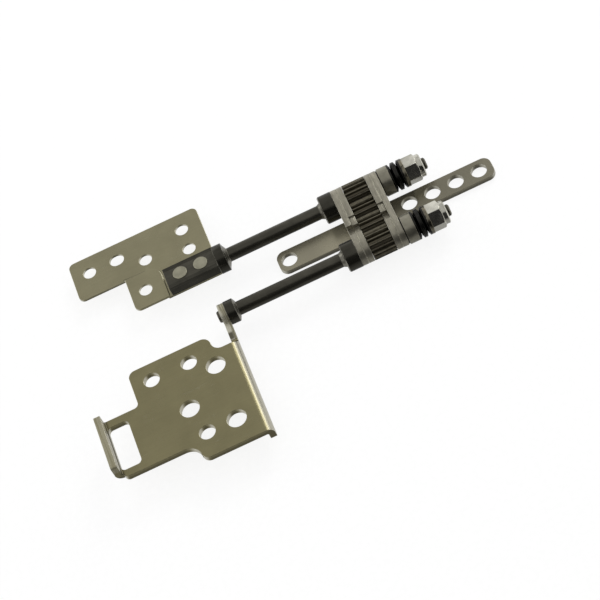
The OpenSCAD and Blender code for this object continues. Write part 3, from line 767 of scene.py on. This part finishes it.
class HingeShapeSettings(bpy.types.PropertyGroup):
    """Sizes of the details that are added to the CAD parts."""

    sheet_edge: FloatProperty(
        name="Sheet edge", description="Rounding of the sheet edges", unit="LENGTH", default=0.09 * MM)
    plate_edge: FloatProperty(
        name="Plate edge", description="Rounding of the end plates", unit="LENGTH", default=0.11 * MM)
    tooth_edge: FloatProperty(
        name="Tooth edge", description="Rounding of the gear teeth", unit="LENGTH", default=0.035 * MM)
    shaft_edge: FloatProperty(
        name="Shaft edge", description="Rounding of the shafts' edges", unit="LENGTH", default=0.08 * MM)
    small_edge: FloatProperty(
        name="Small part edge", description="Rounding of washers, nuts and rivets", unit="LENGTH",
        default=0.06 * MM)
    thin_edge: FloatProperty(
        name="Thin washer edge", description="Rounding of the friction washers", unit="LENGTH",
        default=0.03 * MM)
    thread_pitch: FloatProperty(
        name="Thread pitch", description="Pitch of the shafts' thread", unit="LENGTH", default=0.45 * MM)
    thread_depth: FloatProperty(
        name="Thread depth", description="How far the thread stands out of its core", unit="LENGTH",
        default=0.10 * MM)


class HingeStageSettings(bpy.types.PropertyGroup):
    """Studio round the hinge."""

    floor_colour: FloatVectorProperty(
        name="Floor", description="Colour of the floor", subtype="COLOR", default=(0.8, 0.8, 0.8))
    lamp_level: FloatProperty(
        name="Lamp level", description="Brightness of both side lamps", default=3.2, min=0)
    room_level: FloatProperty(
        name="Room level", description="Brightness of the room on rough surfaces", default=0.55, min=0)


# Pieces

# Painted light on the strip's plating left of the gear block, as a factor on its colour, from past its
# end to this far behind the block
LEFT_PAINTED_LIGHT = 1.6
LEFT_END = 1.0 * MM
LEFT_SOFTNESS = 0.5 * MM

# Stronger painted light on the stretch beside the block, between two distances from the block's left
# face
BESIDE_PAINTED_LIGHT = 2.15
BESIDE_REACH = (-6.0 * MM, 4.0 * MM)
BESIDE_SOFTNESS = 6.0 * MM

# How far these stretches reach past the strip's long sides and faces
STRIP_AROUND = 20.0 * MM


class HINGE_OT_mounting_strip(bpy.types.Operator):
    """Mounting strip behind the gear block"""

    bl_idname = "hinge.mounting_strip"
    bl_label = "Mounting strip"

    def execute(self, context):
        colours, sizes = context.scene.hinge_finish, context.scene.hinge_shape
        strip_colour = colours.strip_colour
        levels = sheet_levels("mounting_strip")
        finish = sheet_finish(
            "Strip nickel", strip_colour, levels, colours, roughness=0.24, metallic=0.45)
        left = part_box("mounting_strip")[0].x
        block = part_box("left_outer_plate")[0].x
        # Painted light: the strip is made lighter left of the gear block, most of all beside it
        low, high = strip_length(left - AROUND, block + LEFT_END)
        add_painted_light_or_shade(finish, strip_colour, low, high, LEFT_SOFTNESS, LEFT_PAINTED_LIGHT)
        low, high = strip_length(*(block + reach for reach in BESIDE_REACH))
        add_painted_light_or_shade(finish, strip_colour, low, high, BESIDE_SOFTNESS, BESIDE_PAINTED_LIGHT)
        dressed_copy("mounting_strip", "gear_block", finish.done(), sizes.sheet_edge)
        return {"FINISHED"}


def strip_length(start, end):
    """Corners of a box that holds a length of the strip, far past its other sides."""
    low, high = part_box("mounting_strip")
    return (
        Vector((start, low.y - STRIP_AROUND, low.z - STRIP_AROUND)),
        Vector((end, high.y + STRIP_AROUND, high.z + STRIP_AROUND)),
    )


class HINGE_OT_end_plates(bpy.types.Operator):
    """Four laminated end plates of the gear block"""

    bl_idname = "hinge.end_plates"
    bl_label = "End plates"

    def execute(self, context):
        colours, sizes = context.scene.hinge_finish, context.scene.hinge_shape
        finish = plate_finish("End plate nickel", colours.plate_colour, colours)
        for node in ("left_outer_plate", "left_inner_plate", "right_inner_plate", "right_outer_plate"):
            dressed_copy(node, "gear_block", finish, sizes.plate_edge)
        return {"FINISHED"}


class HINGE_OT_gear_train(bpy.types.Operator):
    """Two shaft gears and the two idlers between them"""

    bl_idname = "hinge.gear_train"
    bl_label = "Gear train"

    def execute(self, context):
        colours, sizes = context.scene.hinge_finish, context.scene.hinge_shape
        for node, body, axis, tip_radius in gear_train():
            finish = gear_finish(f"{node} steel", colours, axis, tip_radius)
            dressed_copy(node, body, finish, sizes.tooth_edge)
        return {"FINISHED"}


class HINGE_OT_shafts(bpy.types.Operator):
    """Both shafts, with the thread on their ends"""

    bl_idname = "hinge.shafts"
    bl_label = "Shafts"

    def execute(self, context):
        colours, sizes = context.scene.hinge_finish, context.scene.hinge_shape
        for side in SIDES:
            finish = oxide_finish(f"Black oxide {side}", colours.oxide_colour, axis_of(side), colours)
            dressed_copy(f"{side}_shaft", f"{side}_side", finish, sizes.shaft_edge)
            thread = shaft_thread(side, sizes)
            piece = finished_piece(thread, f"{side}_thread", finish)
            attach(piece, f"{side}_side")
        return {"FINISHED"}


# Thread on the shafts' ends: its crest's radius, how deep it is rooted and the plain end that it leaves
THREAD_CREST = 1.29 * MM
THREAD_ROOT = 0.05 * MM
THREAD_RUNOUT = 0.25 * MM

# Half the ridge's width as a share of the pitch, and the steps of one turn
THREAD_HALF_WIDTH = 0.42
THREAD_STEPS = 40


def shaft_thread(side, sizes):
    """Helical ridge on the part of the shaft's end that stands out of its lock nut."""
    y, z = axis_of(side)
    nut_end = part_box(f"{side}_lock_nut")[1].x
    shaft_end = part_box(f"{side}_shaft")[1].x
    pitch = sizes.thread_pitch
    core = THREAD_CREST - sizes.thread_depth - THREAD_ROOT
    turns = (shaft_end - nut_end - THREAD_RUNOUT) / pitch
    steps = round(THREAD_STEPS * turns)
    half = pitch * THREAD_HALF_WIDTH
    start = nut_end - half
    bm = bmesh.new()
    corners = [(start, core), (start + half, THREAD_CREST), (start + 2 * half, core)]
    verts = [bm.verts.new((x, y, z + radius)) for x, radius in corners]
    profile = [bm.edges.new((verts[i], verts[(i + 1) % 3])) for i in range(3)]
    cap = bm.faces.new(verts)
    bmesh.ops.spin(
        bm, geom=[*verts, *profile, cap], cent=(0, y, z), axis=(1, 0, 0), angle=math.tau * turns,
        dvec=(pitch * turns / steps, 0, 0), steps=steps, use_merge=False, use_duplicate=False)
    bmesh.ops.recalc_face_normals(bm, faces=bm.faces)
    return bm


class HINGE_OT_friction_stacks(bpy.types.Operator):
    """Friction washers, spacers, disc springs and flat washers"""

    bl_idname = "hinge.friction_stacks"
    bl_label = "Friction stacks"

    def execute(self, context):
        colours, sizes = context.scene.hinge_finish, context.scene.hinge_shape
        spring = spring_finish("Phosphated spring", colours.spring_colour)
        washer = bright_finish("Washer zinc", colours.washer_colour, 0.30, colours, metallic=0.85)
        oiled = oily_finish("Oiled washer", colours.oiled_colour, colours)
        for side in SIDES:
            body = f"{side}_side"
            dressed_copy(f"{side}_friction_washer", body, spring, sizes.thin_edge)
            for i in DISCS:
                dressed_copy(f"{side}_disc_{i}", body, spring, sizes.small_edge)
            dressed_copy(f"{side}_spacer", body, washer, sizes.small_edge)
            dressed_copy(f"{side}_flat_washer", body, oiled, sizes.small_edge)
        return {"FINISHED"}


class HINGE_OT_lock_nuts(bpy.types.Operator):
    """Lock nuts on both shaft ends"""

    bl_idname = "hinge.lock_nuts"
    bl_label = "Lock nuts"

    def execute(self, context):
        colours, sizes = context.scene.hinge_finish, context.scene.hinge_shape
        finish = bright_finish("Nut nickel", colours.nut_colour, 0.12, colours)
        for side in SIDES:
            nut, body = f"{side}_lock_nut", f"{side}_side"
            dressed_copy(nut, body, finish, sizes.small_edge, segments=3)
        return {"FINISHED"}


class HINGE_OT_lid_bracket(bpy.types.Operator):
    """Lid bracket and the two rivets that hold the lid shaft's tongue"""

    bl_idname = "hinge.lid_bracket"
    bl_label = "Lid bracket"

    def execute(self, context):
        colours, sizes = context.scene.hinge_finish, context.scene.hinge_shape
        levels = sheet_levels("lid_bracket")
        finish = sheet_finish("Lid bracket nickel", colours.lid_colour, levels, colours)
        dressed_copy("lid_bracket", "lid_side", finish.done(), sizes.sheet_edge)
        heads = bright_finish("Rivet nickel", colours.rivet_colour, 0.34, colours, turned=False)
        for node in ("inner_rivet", "outer_rivet"):
            dressed_copy(node, "lid_side", heads, sizes.small_edge, segments=3)
        return {"FINISHED"}


# How far the flange's ear and neck reach from the shaft's axis to the shoulder of the bend
NECK_LENGTH = 7.2 * MM

# Painted shade on the neck, in the hollow beside the bend: where it starts and ends from the shoulder,
# and how far it stays off the outer face
NECK_SHADE_START = 0.3 * MM
NECK_SHADE_END = 2.2 * MM
NECK_SHADE_INSET = 0.35 * MM

# How far above the sheet's front the lip's torn lines begin, and the reach and depth of the painted
# shade in its bend
LIP_LINES_HEIGHT = 1.2 * MM
LIP_SHADE_REACH = 0.5 * MM
LIP_SHADE_DEPTH = 0.3 * MM

# How dark the painted shade is and its soft side, and how far painted shade and lines run past the inner
# face of the flange or the lip
BRACKET_SHADE = 0.25
BRACKET_SHADE_SOFTNESS = 0.7 * MM
BRACKET_SHADE_PAST = 0.2 * MM
LINES_PAST = 0.05 * MM


class HINGE_OT_base_bracket(bpy.types.Operator):
    """Base bracket with its flange, ear and lip"""

    bl_idname = "hinge.base_bracket"
    bl_label = "Base bracket"

    def execute(self, context):
        colours, sizes = context.scene.hinge_finish, context.scene.hinge_shape
        levels = sheet_levels("base_bracket")
        finish = sheet_finish("Base bracket nickel", colours.base_colour, levels, colours)
        add_bracket_edges(finish, colours, *levels)
        add_bracket_shade(finish, colours.base_colour, *levels)
        dressed_copy("base_bracket", "base_side", finish.done(), sizes.sheet_edge)
        return {"FINISHED"}


def flange_and_lip(rear, front):
    """X of the flange's inner face, Y of the neck's shoulder and X of the lip's inner face."""
    low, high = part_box("base_bracket")
    thickness = front - rear
    return high.x - thickness, axis_of("base")[0] - NECK_LENGTH, low.x + thickness


def add_bracket_edges(finish, colours, rear, front):
    """Torn lines on the edges of the flange's ear and of the upper part of the lip."""
    low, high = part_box("base_bracket")
    flange, neck, lip = flange_and_lip(rear, front)
    ear_low = Vector((flange - AROUND, neck, low.z - AROUND))
    ear_high = high + Vector((AROUND, AROUND, AROUND))
    add_torn_lines(finish, colours.base_colour, colours, ear_low, ear_high, strength=0.9)
    lip_low = Vector((low.x - AROUND, low.y, front + LIP_LINES_HEIGHT))
    lip_high = Vector((lip + LINES_PAST, high.y, high.z + AROUND))
    add_torn_lines(finish, colours.base_colour, colours, lip_low, lip_high, strength=0.3)


def add_bracket_shade(finish, colour, rear, front):
    """Painted shade on the neck beside the bend and in the lip's inner bend."""
    low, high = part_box("base_bracket")
    flange, neck, lip = flange_and_lip(rear, front)
    # Painted shade in the hollow on the neck beside the bend
    neck_low = Vector((flange - BRACKET_SHADE_PAST, neck + NECK_SHADE_START, low.z))
    neck_high = Vector((high.x - NECK_SHADE_INSET, neck + NECK_SHADE_END, front))
    add_painted_light_or_shade(finish, colour, neck_low, neck_high, BRACKET_SHADE_SOFTNESS, BRACKET_SHADE)
    # Painted shade in the lip's inner bend
    lip_low = Vector((lip - BRACKET_SHADE_PAST, low.y, front - LIP_SHADE_DEPTH))
    lip_high = Vector((lip + LIP_SHADE_REACH, high.y, front + LIP_SHADE_REACH))
    add_painted_light_or_shade(finish, colour, lip_low, lip_high, BRACKET_SHADE_SOFTNESS, BRACKET_SHADE)


# Stage

FLOOR_SIZE = 6.0
FLOOR_DROP = 0.02 * MM
WHITE = (1.0, 1.0, 1.0, 1.0)
PAPER_GLOW = 0.87
SHADOW_SHARE = 0.2

# Camera, fitted to the photograph
IMAGE_PX = 600
SENSOR_MM = 36.0
FOCAL_PX = 2291.3
EYE = Vector((-22.03, -304.82, 367.67)) * MM
FORWARD = Vector((-0.03149, 0.62516, -0.77986))
RIGHT = Vector((0.90527, -0.31289, -0.28737))

# Room that the metal mirrors, by the direction of the ray: where it changes, and how bright it is there
FRONT_DARK = (-0.54, -0.72)
FRONT_FLOOR = (-0.75, -0.10)
FRONT_LEVEL = 0.03
CEILING_RISE = (0.25, 0.70)
CEILING_LEVEL = 0.62
TABLE_RISE = (0.05, -0.15)
TABLE_SPREAD = (0.15, 0.55)
TABLE_LEVELS = (0.42, 0.95)

# X of each side lamp from the hinge's middle, with its share of the lamp level
LAMPS = {"Left lamp": (-0.62, 0.6), "Right lamp": (0.37, 1.0)}
LAMP_BACK = 0.44
LAMP_HEIGHT = 0.42
LAMP_SIZE = 0.32


def mirrored_ray(tree):
    """1 where a glossy or transmission ray looks, else 0."""
    path = add(tree, "LightPath").outputs
    return calc(tree, "MAXIMUM", path["Is Glossy Ray"], path["Is Transmission Ray"])


def floor_material(colour):
    """White paper that the camera sees evenly lit, with a soft shadow. Mirrored rays pass through it."""
    material = bpy.data.materials.new("Studio floor")
    material.use_nodes = True
    tree = material.node_tree
    tree.nodes.clear()
    fibres = noise(tree, add(tree, "TexCoord").outputs["Object"], 900.0, 2.0)
    tone = calc(tree, "MULTIPLY", ramp(tree, fibres, 0.3, 0.7, 0.985, 1.0), PAPER_GLOW)
    rough = add(tree, "BsdfDiffuse", {"Color": (*colour, 1.0)})
    faint = add(tree, "BsdfDiffuse", {"Color": (SHADOW_SHARE, SHADOW_SHARE, SHADOW_SHARE, 1.0)})
    glow = add(tree, "Emission", {"Color": WHITE, "Strength": tone})
    lit = add(tree, "AddShader", {0: faint.outputs[0], 1: glow.outputs[0]})
    path = add(tree, "LightPath").outputs
    seen = add(tree, "MixShader", {0: path["Is Camera Ray"], 1: rough.outputs[0], 2: lit.outputs[0]})
    clear = add(tree, "BsdfTransparent")
    mixed = add(tree, "MixShader", {0: mirrored_ray(tree), 1: seen.outputs[0], 2: clear.outputs[0]})
    add(tree, "OutputMaterial", {"Surface": mixed.outputs[0]})
    return material


def studio_world(room_level):
    """White to the camera. Metal sees a white backdrop, dimmer ceiling, dark front and pale table."""
    world = bpy.data.worlds.new("Studio")
    world.use_nodes = True
    tree = world.node_tree
    tree.nodes.clear()
    split = add(tree, "SeparateXYZ", {0: add(tree, "TexCoord").outputs["Generated"]})
    x, y, z = (split.outputs[axis] for axis in "XYZ")
    ceiling = ramp(tree, z, *CEILING_RISE, 1.0, CEILING_LEVEL)
    aside = calc(tree, "MAXIMUM", y, calc(tree, "ABSOLUTE", x))
    dim = calc(tree, "SUBTRACT", 1.0, ramp(tree, aside, *TABLE_SPREAD, *TABLE_LEVELS))
    table = calc(tree, "SUBTRACT", 1.0, calc(tree, "MULTIPLY", ramp(tree, z, *TABLE_RISE), dim))
    front = calc(tree, "MULTIPLY", ramp(tree, y, *FRONT_DARK), ramp(tree, z, *FRONT_FLOOR))
    open_share = calc(tree, "SUBTRACT", 1.0, calc(tree, "MULTIPLY", front, 1.0 - FRONT_LEVEL))
    mirrored = calc(tree, "MULTIPLY", calc(tree, "MULTIPLY", ceiling, table), open_share)
    level = add(tree, "Mix", {0: mirrored_ray(tree), 2: room_level, 3: mirrored}).outputs[0]
    seen = add(tree, "LightPath").outputs["Is Camera Ray"]
    level = add(tree, "Mix", {0: seen, 2: level, 3: 1.0}).outputs[0]
    sky = add(tree, "Background", {"Color": WHITE, "Strength": level})
    add(tree, "OutputWorld", {"Surface": sky.outputs[0]})
    return world


def add_lamp(name, place, size, level, target):
    """Square lamp of an even brightness that looks at the target."""
    light = bpy.data.lights.new(name, "AREA")
    light.shape = "SQUARE"
    light.size = size
    light.energy = level * math.pi * size * size
    lamp = bpy.data.objects.new(name, light)
    lamp.location = place
    lamp.rotation_euler = (target - place).to_track_quat("-Z", "Y").to_euler()
    bpy.context.scene.collection.objects.link(lamp)


def add_camera():
    """Camera at the photograph's place and angle."""
    data = bpy.data.cameras.new("Camera")
    data.sensor_width = SENSOR_MM
    data.lens = FOCAL_PX / IMAGE_PX * SENSOR_MM
    data.clip_start, data.clip_end = 0.01, 20.0
    camera = bpy.data.objects.new("Camera", data)
    back = -FORWARD.normalized()
    up = back.cross(RIGHT).normalized()
    turn = Matrix((up.cross(back), up, back)).transposed().to_4x4()
    camera.matrix_world = Matrix.Translation(EYE) @ turn
    bpy.context.scene.collection.objects.link(camera)
    bpy.context.scene.camera = camera


class HINGE_OT_stage(bpy.types.Operator):
    """Floor, lamps, room and camera"""

    bl_idname = "hinge.stage"
    bl_label = "Stage"

    def execute(self, context):
        studio = context.scene.hinge_stage
        low, high = cad_box
        middle = (low + high) / 2
        bm = bmesh.new()
        bmesh.ops.create_grid(bm, x_segments=1, y_segments=1, size=FLOOR_SIZE / 2)
        bmesh.ops.translate(bm, verts=bm.verts, vec=(middle.x, middle.y, low.z - FLOOR_DROP))
        finished_piece(bm, "floor", floor_material(studio.floor_colour))
        for name, (x, share) in LAMPS.items():
            place = middle + Vector((x, LAMP_BACK, LAMP_HEIGHT))
            add_lamp(name, place, LAMP_SIZE, studio.lamp_level * share, middle)
        context.scene.world = studio_world(studio.room_level)
        context.scene.view_settings.view_transform = "Standard"
        add_camera()
        return {"FINISHED"}


class HINGE_PT_panel(bpy.types.Panel):
    """Lists the hinge's settings and steps"""

    bl_idname = "HINGE_PT_panel"
    bl_label = "Laptop hinge"
    bl_space_type = "VIEW_3D"
    bl_region_type = "UI"
    bl_category = "Hinge"

    def draw(self, context):
        scene = context.scene
        for group in (scene.hinge_finish, scene.hinge_shape, scene.hinge_stage):
            box = self.layout.box()
            for name in group.bl_rna.properties.keys():
                if name not in ("rna_type", "name"):
                    box.prop(group, name)
        for step in STEPS:
            self.layout.operator(step.bl_idname)


SETTINGS = {
    "hinge_finish": HingeFinishSettings,
    "hinge_shape": HingeShapeSettings,
    "hinge_stage": HingeStageSettings,
}
STEPS = (
    HINGE_OT_mounting_strip,
    HINGE_OT_end_plates,
    HINGE_OT_gear_train,
    HINGE_OT_shafts,
    HINGE_OT_friction_stacks,
    HINGE_OT_lock_nuts,
    HINGE_OT_lid_bracket,
    HINGE_OT_base_bracket,
    HINGE_OT_stage,
)


def register():
    """Adds the settings, the steps and the panel to Blender."""
    for cls in (*SETTINGS.values(), *STEPS, HINGE_PT_panel):
        bpy.utils.register_class(cls)
    for name, cls in SETTINGS.items():
        setattr(bpy.types.Scene, name, PointerProperty(type=cls))


def unregister():
    """Takes them out again."""
    for name in SETTINGS:
        delattr(bpy.types.Scene, name)
    for cls in reversed((*SETTINGS.values(), *STEPS, HINGE_PT_panel)):
        bpy.utils.unregister_class(cls)


def main():
    """Dresses the hinge step by step."""
    register()
    for step in STEPS:
        family, name = step.bl_idname.split(".")
        getattr(getattr(bpy.ops, family), name)()


if __name__ == "__main__":
    main()
